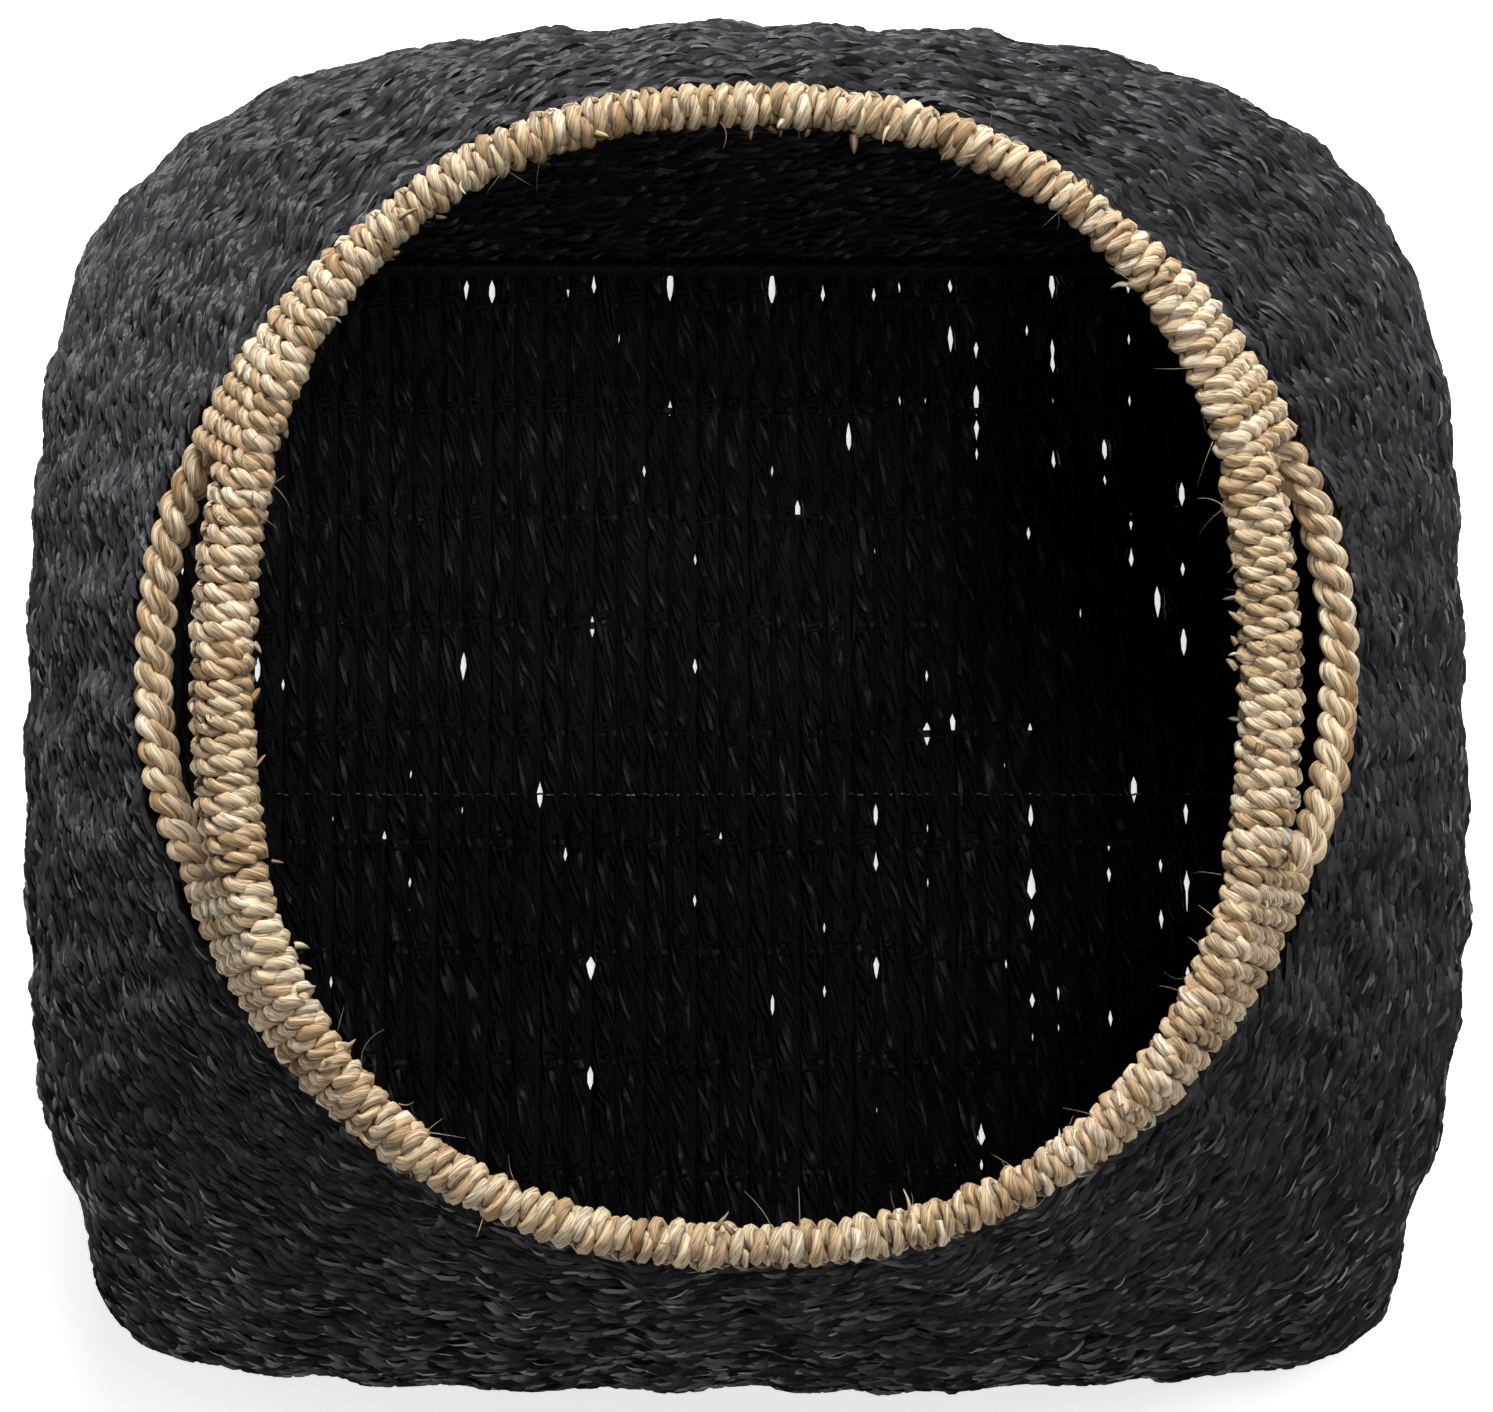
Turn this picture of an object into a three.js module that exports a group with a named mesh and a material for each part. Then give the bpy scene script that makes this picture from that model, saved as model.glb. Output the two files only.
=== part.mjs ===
// Twined seagrass storage basket with a square wire-framed base, a full belly and a narrower oval mouth.
// Dyed leaf cord is twined on both sides of stiff stakes. Undyed cord is wrapped round the rim hoop, thin
// at the front and back, deeper at the four corners, and thicker over each hand slot as a grip.
// Millimetres, +Z up. The origin is the middle of the underside, the front is -Y, left is -X.

import * as THREE from 'three';
import { mergeVertices } from 'three/addons/utils/BufferGeometryUtils.js';

const GAP = 0.3;

// The wall's middle surface, halfway between its two faces, as rounded rectangles at four heights.
// halfX and halfY are half sizes, centreY is where the middle lies, and power squares the corners.
const BASE = { z: 4.5, halfX: 190.5, halfY: 174.5, centreY: -3.5, power: 28 };
const BELLY = { z: 112, halfX: 205, halfY: 191, centreY: 0, power: 4.4 };
const NECK = { z: 302, halfX: 145.5, halfY: 159.5, centreY: -10, power: 2.2 };
const RIM = { z: 322.5, halfX: 134, halfY: 148.5, centreY: -15, power: 2.3 };
const SHOULDER_FULLNESS = 2.35;

// Two layers of twining with the stakes between them.
const WEAVE_HALF = 4.5;
const LAYER = 2.2;
const LAYER_ROWS = 7;

const STAKES_PER_SIDE = 10;
const STAKE_RADIUS = 1.25;
const STAKE_SIDES = 5;
const STAKE_TOP_CLEARANCE = 3;
const STAKE_FOOT = 10;

const RING_WIRE_RADIUS = 1.7;
const CROSS_WIRE_RADIUS = 1.2;
const WIRE_Y = -6;
const HOOP_RADIUS = 2.5;

// How far each wrap reaches from the hoop: thick is half its thickness, up and down follow the wall.
const ROLL = { thick: 6.5, up: 6.5, down: 6.5 };
const CORNER = { thick: 7.5, up: 6.8, down: 36 };
const GRIP = { thick: 8.5, up: 7.5, down: 12 };
const WRAP_SIDES = 10;
const BORE_CLEARANCE = 0.9;

// Where the wraps change, in degrees from the +X or -X direction as seen from the rim's middle.
const SLOT_END = 22;
const FRONT_TAPER_END = 60;
const BACK_TAPER_END = 50;

// The cord that edges the wall below each hand slot hangs lowest in its middle.
const CORD_RADIUS = 6.5;
const CORD_LOW_Z = 286;
const CORD_RISE = 13;
const CORD_STEPS = 16;
const CORD_SIDES = 10;
const CORD_END_GAP = 1.8;

const NATURAL = '#cdb48c';
const NATURAL_CORD = '#c2a67c';
const DYED = '#2c2c30';
const STAKE_BROWN = '#4a3b2b';
const STEEL = '#8a8a8c';

const TURN = 2 * Math.PI;
const radians = THREE.MathUtils.degToRad;
const mix = THREE.MathUtils.lerp;
const UP = new THREE.Vector3(0, 0, 1);
const ACROSS = new THREE.Vector3(1, 0, 0);
const BACK = new THREE.Vector3(0, 1, 0);

// ---- the shape of the wall -------------------------------------------------------------------------

function mixPlan(low, high, amount, powerAmount, z) {
  return {
    z,
    halfX: mix(low.halfX, high.halfX, amount),
    halfY: mix(low.halfY, high.halfY, amount),
    centreY: mix(low.centreY, high.centreY, amount),
    power: mix(low.power, high.power, powerAmount),
  };
}

// The rounded rectangle of the middle surface at a height: it swells from the square base to the belly,
// rounds over the shoulder to the neck, and runs straight from there to the rim.
function planAt(z) {
  if (z <= BELLY.z) {
    const rise = Math.max(0, (z - BASE.z) / (BELLY.z - BASE.z));
    return mixPlan(BASE, BELLY, Math.sin(rise * Math.PI / 2), 1 - (1 - rise) ** 3, z);
  }
  if (z <= NECK.z) {
    const rise = (z - BELLY.z) / (NECK.z - BELLY.z);
    return mixPlan(BELLY, NECK, rise ** SHOULDER_FULLNESS, rise, z);
  }
  const rise = (z - NECK.z) / (RIM.z - NECK.z);
  return mixPlan(NECK, RIM, rise, rise, z);
}

function reach(plan, angle) {
  const x = Math.abs(Math.cos(angle)) / plan.halfX;
  const y = Math.abs(Math.sin(angle)) / plan.halfY;
  return (x ** plan.power + y ** plan.power) ** (-1 / plan.power);
}

function planPoint(plan, angle) {
  const radius = reach(plan, angle);
  return new THREE.Vector3(radius * Math.cos(angle), plan.centreY + radius * Math.sin(angle), plan.z);
}

// A point that stands off the plan's outline, square to it.
function offsetPoint(plan, angle, offset) {
  const turn = 0.004;
  const along = planPoint(plan, angle + turn).sub(planPoint(plan, angle - turn)).normalize();
  return planPoint(plan, angle).add(new THREE.Vector3(along.y, -along.x, 0).multiplyScalar(offset));
}

function wallPoint(angle, z) {
  return planPoint(planAt(z), angle);
}

// Outward normal of the middle surface, and the direction up the wall.
function wallFrame(angle, z) {
  const step = 0.5;
  const turn = 0.004;
  const upward = wallPoint(angle, z + step).sub(wallPoint(angle, Math.max(z - step, BASE.z)));
  const along = wallPoint(angle + turn, z).sub(wallPoint(angle - turn, z));
  const outward = along.clone().cross(upward).normalize();
  return { outward, along: along.normalize(), upward: upward.normalize() };
}

// Degrees away from the nearer of the +X and -X directions, and whether the angle is towards the back.
function sideAngle(angle) {
  const fromX = THREE.MathUtils.radToDeg(Math.asin(Math.abs(Math.sin(angle))));
  return { degrees: fromX, back: Math.sin(angle) > 0 };
}

// How far the wrap reaches at an angle: a deep corner at the slot's end that tapers to the thin roll.
function cornerSection(angle) {
  const { degrees, back } = sideAngle(angle);
  const end = back ? BACK_TAPER_END : FRONT_TAPER_END;
  const taper = THREE.MathUtils.clamp((degrees - SLOT_END) / (end - SLOT_END), 0, 1);
  return {
    thick: mix(CORNER.thick, ROLL.thick, taper),
    up: mix(CORNER.up, ROLL.up, taper),
    down: mix(CORNER.down, ROLL.down, taper),
  };
}

const RIM_SLOPE_Z = RIM.z - 4;

function cordZ(angle) {
  return CORD_LOW_Z + CORD_RISE * (sideAngle(angle).degrees / SLOT_END) ** 2;
}

// The top edge of the twining: under the wraps, or under the cord where there is a slot.
function wallTop(angle) {
  if (sideAngle(angle).degrees < SLOT_END) {
    return cordZ(angle) - (CORD_RADIUS + 3 * GAP) * wallFrame(angle, cordZ(angle)).upward.z - GAP;
  }
  return RIM.z - (cornerSection(angle).down + GAP) * wallFrame(angle, RIM_SLOPE_Z).upward.z - GAP;
}

// ---- meshes ----------------------------------------------------------------------------------------

// Moves every point of a geometry, closes its seams and makes sure that its faces point outwards.
function warp(geometry, place) {
  const position = geometry.attributes.position;
  const point = new THREE.Vector3();
  for (let index = 0; index < position.count; index += 1) {
    point.fromBufferAttribute(position, index);
    point.copy(place(point, index));
    position.setXYZ(index, point.x, point.y, point.z);
  }
  geometry.deleteAttribute('normal');
  geometry.deleteAttribute('uv');
  const closed = mergeVertices(geometry, 1e-3);
  if (signedVolume(closed) < 0) {
    flip(closed);
  }
  closed.computeVertexNormals();
  return closed;
}

function signedVolume(geometry) {
  const { position } = geometry.attributes;
  const order = geometry.index.array;
  const corner = [new THREE.Vector3(), new THREE.Vector3(), new THREE.Vector3()];
  let total = 0;
  for (let face = 0; face < order.length; face += 3) {
    corner.forEach((point, k) => point.fromBufferAttribute(position, order[face + k]));
    total += corner[0].dot(corner[1].clone().cross(corner[2])) / 6;
  }
  return total;
}

function flip(geometry) {
  const order = geometry.index.array;
  for (let face = 0; face < order.length; face += 3) {
    [order[face], order[face + 1]] = [order[face + 1], order[face]];
  }
}

const basket = new THREE.Group();

function addPiece(name, geometry, color, roughness, metalness = 0) {
  const material = new THREE.MeshStandardMaterial({ color, roughness, metalness });
  const mesh = new THREE.Mesh(geometry, material);
  mesh.name = name;
  basket.add(mesh);
}

// A straight tube along +Y, from y = 0 to 1, that warp() then bends. With a bore it is open right through.
function straightTube(sides, steps, bore) {
  const profile = [];
  for (let step = 0; step <= steps; step += 1) {
    profile.push(new THREE.Vector2(1, step / steps));
  }
  if (bore) {
    for (let step = steps; step >= 0; step -= 1) {
      profile.push(new THREE.Vector2(0.5, step / steps));
    }
    profile.push(profile[0].clone());
  } else {
    profile.unshift(new THREE.Vector2(0, 0));
    profile.push(new THREE.Vector2(0, 1));
  }
  return new THREE.LatheGeometry(profile, sides);
}

// A round rod through a list of points. The hint is a direction that the rod never runs along.
function rod(points, radius, sides, hint) {
  const steps = points.length - 1;
  return warp(straightTube(sides, steps, false), (point) => {
    const station = Math.round(point.y * steps);
    const before = points[Math.max(station - 1, 0)];
    const after = points[Math.min(station + 1, steps)];
    const forward = after.clone().sub(before).normalize();
    const lift = forward.clone().cross(hint).normalize();
    const side = lift.clone().cross(forward);
    return points[station].clone()
      .addScaledVector(side, point.x * radius)
      .addScaledVector(lift, point.z * radius);
  });
}

// A closed ring of round wire, given its middle line as a function of the turn.
function ringRod(middle, radius, steps, sides) {
  const circle = [];
  for (let side = 0; side <= sides; side += 1) {
    const around = TURN * (side % sides) / sides;
    circle.push(new THREE.Vector2(10 + Math.cos(around), Math.sin(around)));
  }
  const columns = circle.length;
  return warp(new THREE.LatheGeometry(circle, steps), (point, index) => {
    const angle = TURN * (Math.floor(index / columns) % steps) / steps;
    const offset = circle[index % columns];
    const centre = middle(angle);
    const forward = middle(angle + 0.01).sub(middle(angle - 0.01)).normalize();
    const outward = forward.clone().cross(UP).normalize();
    return centre.addScaledVector(outward, (offset.x - 10) * radius)
      .add(new THREE.Vector3(0, 0, offset.y * radius));
  });
}

// ---- stakes ----------------------------------------------------------------------------------------

// Stakes stand at even distances along each side of the base.
function stakeOffset(index) {
  return (index - (STAKES_PER_SIDE - 1) / 2) / (STAKES_PER_SIDE / 2);
}

function sideStakeAngle(index, side) {
  const angle = Math.atan2(stakeOffset(index) * BASE.halfY, BASE.halfX);
  return side > 0 ? angle : Math.PI - angle;
}

function endStakeAngle(index, side) {
  return Math.atan2(side * BASE.halfY, stakeOffset(index) * BASE.halfX);
}

// Angles of all the stakes in order round the basket, each followed by the middle of the gap after it.
function columnAngles() {
  const stakes = [];
  for (let index = 0; index < STAKES_PER_SIDE; index += 1) {
    stakes.push(sideStakeAngle(index, 1), sideStakeAngle(index, -1));
    stakes.push(endStakeAngle(index, 1), endStakeAngle(index, -1));
  }
  const ordered = stakes.map((angle) => (angle + TURN) % TURN).sort((a, b) => a - b);
  const columns = [];
  ordered.forEach((angle, index) => {
    const next = index + 1 < ordered.length ? ordered[index + 1] : ordered[0] + TURN;
    columns.push(angle, (angle + next) / 2);
  });
  return columns;
}

// The rise of a stake: round the fold at the base's edge, then up between the two layers.
function risePoints(angle) {
  const points = [
    offsetPoint(BASE, angle, -2.4),
    offsetPoint({ ...BASE, z: BASE.z + 0.7 }, angle, -0.6),
  ];
  points.push(wallPoint(angle, BASE.z + 2.5));
  for (let row = 1; row < LAYER_ROWS; row += 1) {
    points.push(wallPoint(angle, layerZ(row, angle)));
  }
  const last = points[points.length - 1];
  const edge = wallPoint(angle, wallTop(angle));
  const share = 1 - STAKE_TOP_CLEARANCE / edge.distanceTo(last);
  points.push(last.clone().lerp(edge, share));
  return points;
}

function layerZ(row, angle) {
  const share = row / LAYER_ROWS;
  return mix(BASE.z, wallTop(angle), share);
}

function addCrossStakes() {
  for (let index = 0; index < STAKES_PER_SIDE; index += 1) {
    const right = risePoints(sideStakeAngle(index, 1));
    const left = risePoints(sideStakeAngle(index, -1));
    const points = [...right.reverse(), ...left];
    const stake = rod(points, STAKE_RADIUS, STAKE_SIDES, BACK);
    addPiece(`cross_stake_${index + 1}`, stake, STAKE_BROWN, 0.8);
  }
}

function addEndStakes(name, side) {
  for (let index = 0; index < STAKES_PER_SIDE; index += 1) {
    const points = risePoints(endStakeAngle(index, side));
    const foot = points[0].clone();
    foot.y -= side * STAKE_FOOT;
    points.unshift(foot);
    const stake = rod(points, STAKE_RADIUS, STAKE_SIDES, ACROSS);
    addPiece(`${name}_stake_${index + 1}`, stake, STAKE_BROWN, 0.8);
  }
}

// ---- twined walls and base -------------------------------------------------------------------------

// A point of a wall layer, at an offset from the middle surface. The outer layer stands on the lower layer
// of the base, and the inner one starts level with the underside of the base's upper layer.
function layerPoint(column, row, offset, startZ) {
  const angles = columnAngles();
  const angle = angles[(column + angles.length) % angles.length];
  const z = row === 0 ? BASE.z : layerZ(row, angle);
  const { outward } = wallFrame(angle, Math.max(z, BASE.z + 1));
  const result = wallPoint(angle, z).addScaledVector(outward, offset);
  return row === 0 ? result.setZ(startZ) : result;
}

// A stretch of a layer between two columns, half a gap short of each.
function wallStretch(inner, outer, startZ, first, columns) {
  const block = new THREE.BoxGeometry(columns, LAYER_ROWS, 1, columns, LAYER_ROWS, 1);
  return warp(block, (point) => {
    const step = Math.round(point.x + columns / 2);
    const row = Math.round(point.y + LAYER_ROWS / 2);
    const offset = point.z > 0 ? outer : inner;
    const place = layerPoint(first + step, row, offset, startZ);
    if (step > 0 && step < columns) {
      return place;
    }
    const neighbour = layerPoint(first + (step === 0 ? 1 : columns - 1), row, offset, startZ);
    return place.lerp(neighbour, GAP / 2 / place.distanceTo(neighbour));
  });
}

// A whole layer, closed round the basket.
function wallLayer(inner, outer, startZ) {
  const rows = LAYER_ROWS;
  const profile = [];
  for (let row = 0; row <= rows; row += 1) {
    profile.push(new THREE.Vector2(30, row));
  }
  for (let row = rows; row >= 0; row -= 1) {
    profile.push(new THREE.Vector2(20, row));
  }
  profile.push(profile[0].clone());
  const columns = 8 * STAKES_PER_SIDE;
  return warp(new THREE.LatheGeometry(profile, columns), (point, index) => {
    const column = Math.floor(index / profile.length) % columns;
    const place = index % profile.length;
    const onOuter = place <= rows || place === profile.length - 1;
    const row = onOuter ? place % (profile.length - 1) : 2 * rows + 1 - place;
    return layerPoint(column, row, onOuter ? outer : inner, startZ);
  });
}

// The outer layer has a solid for each side, which meet at the corners.
function addWalls() {
  const outerLow = WEAVE_HALF - LAYER;
  const columns = 2 * STAKES_PER_SIDE;
  ['right', 'back', 'left', 'front'].forEach((side, index) => {
    const first = (index - 0.5) * columns - 1;
    const stretch = wallStretch(outerLow, WEAVE_HALF, LAYER + GAP, first, columns);
    addPiece(`wall_weave_${side}`, stretch, DYED, 0.7);
  });
  const innerFace = wallLayer(-WEAVE_HALF, -outerLow, 2 * WEAVE_HALF - LAYER);
  addPiece('wall_weave_inner', innerFace, DYED, 0.8);
}

// A flat layer of the base, as a plate whose outline is the base's with other half sizes.
function basePlate(growth, low, high) {
  const plan = { ...BASE, halfX: BASE.halfX + growth, halfY: BASE.halfY + growth };
  const outline = new THREE.Shape(columnAngles().map((angle) => {
    const point = planPoint(plan, angle);
    return new THREE.Vector2(point.x, point.y);
  }));
  const plate = new THREE.ExtrudeGeometry(outline, { depth: high - low, bevelEnabled: false });
  return warp(plate, (point) => point.clone().setZ(point.z + low));
}

function addBase() {
  const top = 2 * WEAVE_HALF;
  addPiece('base_weave_under', basePlate(WEAVE_HALF, 0, LAYER), DYED, 0.8);
  addPiece('base_weave_top', basePlate(-WEAVE_HALF - 3 * GAP, top - LAYER, top), DYED, 0.8);
  const inset = WEAVE_HALF + RING_WIRE_RADIUS + 2 * GAP + 1;
  const ringPlan = { ...BASE, z: top + GAP + RING_WIRE_RADIUS };
  const inside = { ...ringPlan, halfX: BASE.halfX - inset, halfY: BASE.halfY - inset };
  const ring = ringRod((angle) => planPoint(inside, angle), RING_WIRE_RADIUS, 64, 6);
  addPiece('base_ring_wire', ring, STEEL, 0.5, 0.9);
  const wireEnd = BASE.halfX - 12;
  const wire = rod([
    new THREE.Vector3(-wireEnd, WIRE_Y, BASE.z + 0.5),
    new THREE.Vector3(wireEnd, WIRE_Y, BASE.z + 0.5),
  ], CROSS_WIRE_RADIUS, 8, BACK);
  addPiece('base_cross_wire', wire, STEEL, 0.5, 0.9);
}

// ---- rim, grips and slot cords ---------------------------------------------------------------------

// A wrap is a thick sleeve on the hoop, with a section that can change along its length.
function wrapSleeve(startDegrees, endDegrees, steps, sectionAt) {
  const start = radians(startDegrees);
  const end = radians(endDegrees);
  const half = GAP / 2 / RIM.halfX;
  return warp(straightTube(WRAP_SIDES, steps, true), (point) => {
    const radius = Math.hypot(point.x, point.z);
    const around = Math.atan2(point.z, point.x);
    const angle = mix(start + half, end - half, point.y);
    const { outward, upward } = wallFrame(angle, RIM_SLOPE_Z);
    const hoop = wallPoint(angle, RIM.z);
    if (radius < 0.75) {
      const bore = HOOP_RADIUS + BORE_CLEARANCE;
      return hoop.addScaledVector(outward, bore * Math.cos(around))
        .addScaledVector(upward, bore * Math.sin(around));
    }
    const section = sectionAt(angle);
    const across = section.thick * Math.cos(around);
    const high = (section.up + section.down) / 2;
    const middle = (section.up - section.down) / 2;
    return hoop.addScaledVector(outward, across)
      .addScaledVector(upward, middle + high * Math.sin(around));
  });
}

function addRim() {
  const hoop = ringRod((angle) => wallPoint(angle, RIM.z), HOOP_RADIUS, 72, 6);
  addPiece('rim_hoop', hoop, STAKE_BROWN, 0.7);
  const roll = () => ROLL;
  const grip = () => GRIP;
  const front = FRONT_TAPER_END;
  const back = BACK_TAPER_END;
  addPiece('rim_wrap_back', wrapSleeve(back, 180 - back, 11, roll), NATURAL, 0.75);
  addPiece('rim_wrap_front', wrapSleeve(180 + front, 360 - front, 9, roll), NATURAL, 0.75);
  addPiece('handle_grip_right', wrapSleeve(-SLOT_END, SLOT_END, 7, grip), NATURAL, 0.75);
  addPiece('handle_grip_left', wrapSleeve(180 - SLOT_END, 180 + SLOT_END, 7, grip), NATURAL, 0.75);
  const corners = [
    ['corner_wrap_back_right', SLOT_END, back],
    ['corner_wrap_back_left', 180 - back, 180 - SLOT_END],
    ['corner_wrap_front_left', 180 + SLOT_END, 180 + front],
    ['corner_wrap_front_right', 360 - front, 360 - SLOT_END],
  ];
  corners.forEach(([name, from, to]) => {
    addPiece(name, wrapSleeve(from, to, 5, cornerSection), NATURAL, 0.75);
  });
}

function addSlotCord(name, middleDegrees) {
  const points = [];
  const spread = SLOT_END - CORD_END_GAP;
  for (let step = 0; step <= CORD_STEPS; step += 1) {
    const angle = radians(middleDegrees + mix(-spread, spread, step / CORD_STEPS));
    points.push(wallPoint(angle, cordZ(angle)));
  }
  addPiece(name, rod(points, CORD_RADIUS, CORD_SIDES, UP), NATURAL_CORD, 0.75);
}

addBase();
addWalls();
addCrossStakes();
addEndStakes('front', -1);
addEndStakes('back', 1);
addRim();
addSlotCord('slot_cord_right', 0);
addSlotCord('slot_cord_left', 180);

export default basket;
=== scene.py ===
import math
import bpy
import numpy as np
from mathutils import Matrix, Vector


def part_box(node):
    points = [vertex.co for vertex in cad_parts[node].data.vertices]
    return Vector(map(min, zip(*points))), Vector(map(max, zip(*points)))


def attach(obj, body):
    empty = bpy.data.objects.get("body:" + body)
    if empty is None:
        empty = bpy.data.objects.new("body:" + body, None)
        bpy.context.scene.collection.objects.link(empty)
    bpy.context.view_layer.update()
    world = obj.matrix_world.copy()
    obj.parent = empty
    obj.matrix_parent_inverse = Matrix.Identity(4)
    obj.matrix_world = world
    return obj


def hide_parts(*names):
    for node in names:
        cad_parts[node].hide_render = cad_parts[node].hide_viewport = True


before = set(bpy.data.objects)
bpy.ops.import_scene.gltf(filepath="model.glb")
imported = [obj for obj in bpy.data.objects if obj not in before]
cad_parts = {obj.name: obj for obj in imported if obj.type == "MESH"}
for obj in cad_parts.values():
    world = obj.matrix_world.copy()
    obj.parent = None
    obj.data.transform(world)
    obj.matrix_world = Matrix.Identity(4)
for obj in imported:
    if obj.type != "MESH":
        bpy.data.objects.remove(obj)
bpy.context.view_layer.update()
print("frame loaded:", len(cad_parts), "nodes")

mm = 0.001
rng = np.random.default_rng(7)


def halfSize(node, axis):
    low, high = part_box(node)
    return (high[axis] - low[axis]) / 2


def middleOf(node, axis):
    low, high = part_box(node)
    return (high[axis] + low[axis]) / 2


# the wall's middle surface, on which every strand is laid
wall = {
    "weaveHalf": 4.5 * mm,      # from the middle surface to either face
    "bellyZ": 112 * mm,
    "neckZ": 302 * mm,
    "neckHalfX": 145.5 * mm,
    "neckHalfY": 159.5 * mm,
    "neckCentreY": -10 * mm,
    "basePower": 28,            # how square the corners are, at four heights
    "bellyPower": 4.4,
    "neckPower": 2.2,
    "rimPower": 2.3,
    "shoulder": 2.35,
    "stakesPerSide": 10,
    "rowPitch": 3.4 * mm,       # height of one twined row along the wall
}
hoopRadius = 2.5 * mm
plans = np.array([
    # z, half x, half y, centre y, power
    [wall["weaveHalf"], halfSize("base_weave_under", 0) - wall["weaveHalf"],
     halfSize("base_weave_under", 1) - wall["weaveHalf"], middleOf("base_weave_under", 1), wall["basePower"]],
    [wall["bellyZ"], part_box("wall_weave_right")[1][0] - wall["weaveHalf"],
     (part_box("wall_weave_back")[1][1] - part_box("wall_weave_front")[0][1]) / 2 - wall["weaveHalf"],
     (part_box("wall_weave_back")[1][1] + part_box("wall_weave_front")[0][1]) / 2, wall["bellyPower"]],
    [wall["neckZ"], wall["neckHalfX"], wall["neckHalfY"], wall["neckCentreY"], wall["neckPower"]],
    [middleOf("rim_hoop", 2), halfSize("rim_hoop", 0) - hoopRadius,
     halfSize("rim_hoop", 1) - hoopRadius, middleOf("rim_hoop", 1), wall["rimPower"]],
])
baseZ, rimZ = plans[0, 0], plans[3, 0]
rowsEnd = rimZ - 6 * mm


def planAt(z):
    # half x, half y, centre y and power of the wall's outline at each height
    z = np.asarray(z, float)[..., None]
    low = np.clip((z - baseZ) / (wall["bellyZ"] - baseZ), 0, 1)
    mid = np.clip((z - wall["bellyZ"]) / (wall["neckZ"] - wall["bellyZ"]), 0, 1)
    top = np.clip((z - wall["neckZ"]) / (rimZ - wall["neckZ"]), 0, 1.4)
    size = plans[0, 1:4] + (plans[1, 1:4] - plans[0, 1:4]) * np.sin(low * math.pi / 2)
    size = size + (plans[2, 1:4] - plans[1, 1:4]) * mid ** wall["shoulder"]
    size = size + (plans[3, 1:4] - plans[2, 1:4]) * top
    power = plans[1, 4] + (plans[0, 4] - plans[1, 4]) * (1 - low[..., 0]) ** 3
    power = power + (plans[2, 4] - plans[1, 4]) * mid[..., 0] + (plans[3, 4] - plans[2, 4]) * top[..., 0]
    return size[..., 0], size[..., 1], size[..., 2], power


def wallPoint(angle, z):
    halfX, halfY, centreY, power = planAt(z)
    radius = (np.abs(np.cos(angle) / halfX) ** power + np.abs(np.sin(angle) / halfY) ** power) ** (-1 / power)
    return np.stack([radius * np.cos(angle), centreY + radius * np.sin(angle), z + 0 * radius], -1)


def unit(vectors):
    return vectors / np.maximum(np.linalg.norm(vectors, axis=-1, keepdims=True), 1e-12)


def wallFrame(angle, z):
    # outward normal, direction round the wall, direction up the wall, and metres per radian
    step, turn = 0.5 * mm, 0.004
    upward = wallPoint(angle, z + step) - wallPoint(angle, z - step)
    around = (wallPoint(angle + turn, z) - wallPoint(angle - turn, z)) / (2 * turn)
    return unit(np.cross(around, upward)), unit(around), unit(upward), np.linalg.norm(around, axis=-1)


# where the wraps and slots are, in degrees from the nearer grip
rim = {
    "slotEnd": 22,
    "frontTaperEnd": 60,
    "backTaperEnd": 50,
    "roll": (6.5 * mm, 6.5 * mm, 6.5 * mm),     # half thickness, reach up, reach down
    "corner": (7.5 * mm, 6.8 * mm, 36 * mm),
    "grip": (8.5 * mm, 7.5 * mm, 12 * mm),
    "cordLow": 286 * mm,        # middle of the slot's edge cord, at its lowest
    "cordRise": 13 * mm,
    "cordRadius": 6.5 * mm,
    "coreInset": 3.4 * mm,      # from the wraps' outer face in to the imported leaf
}


def sideDegrees(angle):
    return np.degrees(np.arcsin(np.abs(np.sin(angle))))


def wrapSection(angle):
    # thickness, up and down of the wrap at each angle; the grips are apart from this
    degrees = sideDegrees(angle)
    end = np.where(np.sin(angle) > 0, rim["backTaperEnd"], rim["frontTaperEnd"])
    taper = np.clip((degrees - rim["slotEnd"]) / (end - rim["slotEnd"]), 0, 1)[..., None]
    section = np.array(rim["corner"]) * (1 - taper) + np.array(rim["roll"]) * taper
    return section[..., 0], section[..., 1], section[..., 2]


def cordZ(angle):
    return rim["cordLow"] + rim["cordRise"] * (sideDegrees(angle) / rim["slotEnd"]) ** 2


def wallTop(angle):
    slope = wallFrame(angle, np.full_like(angle, rimZ - 4 * mm))[2][..., 2]
    under = rimZ - wrapSection(angle)[2] * slope
    below = cordZ(angle) - rim["cordRadius"] * 0.8
    return np.where(sideDegrees(angle) < rim["slotEnd"], below, under)


def stakeAngles():
    count = wall["stakesPerSide"]
    offset = (np.arange(count) - (count - 1) / 2) / (count / 2)
    halfX, halfY = plans[0, 1], plans[0, 2]
    side = np.arctan2(offset * halfY, halfX)
    end = np.arctan2(halfY, offset * halfX)
    return np.sort(np.concatenate([side, math.pi - side, end, -end]) % (2 * math.pi))


stakes = stakeAngles()
stakeLoop = np.concatenate([[stakes[-1] - 2 * math.pi], stakes, [stakes[0] + 2 * math.pi]])


def stakePhase(angle):
    # counts stakes round the wall: a whole number is on a stake
    return np.interp(angle % (2 * math.pi), stakeLoop, np.arange(-1, len(stakes) + 1))


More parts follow.
